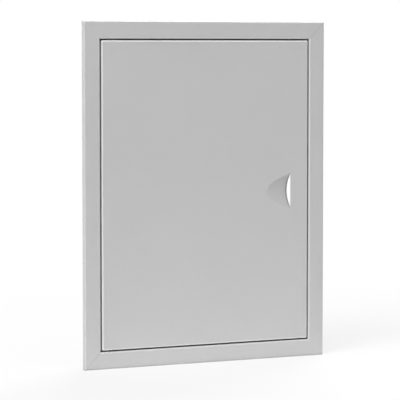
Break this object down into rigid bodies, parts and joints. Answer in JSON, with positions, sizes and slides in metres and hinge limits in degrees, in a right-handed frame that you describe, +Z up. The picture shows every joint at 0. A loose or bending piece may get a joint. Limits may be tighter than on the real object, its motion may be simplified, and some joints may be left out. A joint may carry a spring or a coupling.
{
  "type": "access panel",
  "caption": "Flush wall access hatch: mitred flange frame, tray door on hidden pivots with a pressed finger pull, sprung release pin, magnetic catches and rubber seals.",
  "frame": {"origin": "centre of the wall opening, in the plane of the wall's face that the flange stands on", "axes": "+X to the right seen from the front, +Y into the wall, +Z up"},
  "size_m": [0.34, 0.045, 0.44],
  "materials": {
    "powder_coat": "light grey satin powder coat",
    "zinc_plate": "bright zinc plate",
    "rivet_aluminium": "plain aluminium",
    "seal_rubber": "matt black rubber",
    "catch_plastic": "moulded off-white plastic",
    "magnet_ferrite": "sintered charcoal ferrite",
    "nickel_plate": "nickel plated steel",
    "bush_plastic": "dark nylon",
    "pin_steel": "turned bright steel",
    "spring_steel": "drawn spring wire",
    "grip_vinyl": "dipped dark vinyl"
  },
  "bodies": {
    "frame": {"frame_top": "powder_coat", "frame_bottom": "powder_coat", "frame_left": "powder_coat", "frame_right": "powder_coat", "stop_top": "powder_coat", "stop_bottom": "powder_coat", "stop_left": "powder_coat", "stop_right_upper": "powder_coat", "stop_right_middle": "powder_coat", "stop_right_lower": "powder_coat", "corner_bracket_top_left": "zinc_plate", "corner_bracket_top_right": "zinc_plate", "corner_bracket_bottom_left": "zinc_plate", "corner_bracket_bottom_right": "zinc_plate", "corner_rivets": "rivet_aluminium", "seal_top": "seal_rubber", "seal_bottom": "seal_rubber", "seal_right_upper": "seal_rubber", "seal_right_middle": "seal_rubber", "seal_right_lower": "seal_rubber", "catch_housing_upper": "catch_plastic", "catch_housing_lower": "catch_plastic", "catch_magnet_upper": "magnet_ferrite", "catch_magnet_lower": "magnet_ferrite", "catch_pole_plates_upper": "nickel_plate", "catch_pole_plates_lower": "nickel_plate", "catch_screws": "nickel_plate", "pivot_plate_top": "zinc_plate", "pivot_plate_bottom": "zinc_plate", "hinge_bush_top": "bush_plastic", "hinge_bush_bottom": "bush_plastic"},
    "door": {"door_panel": "powder_coat", "pin_bracket": "zinc_plate", "pivot_bracket": "zinc_plate", "hinge_pin_bottom": "pin_steel", "pin_spring": "spring_steel"},
    "release_pin": {"hinge_pin_top": "pin_steel", "pin_clip": "pin_steel", "pin_grip": "grip_vinyl"}
  },
  "joints": [
    {"name": "door_hinge", "type": "hinge", "parent": "frame", "child": "door", "pos_m": [-0.1351, -0.001, 0], "axis": [0, 0, -1], "range_deg": [0, 130]},
    {"name": "pin_release", "type": "slide", "parent": "door", "child": "release_pin", "axis": [0, 0, -1], "range_m": [0, 0.006], "stiffness_N_per_m": 1670, "springref_m": -0.004, "deforming": ["pin_spring"]}
  ]
}
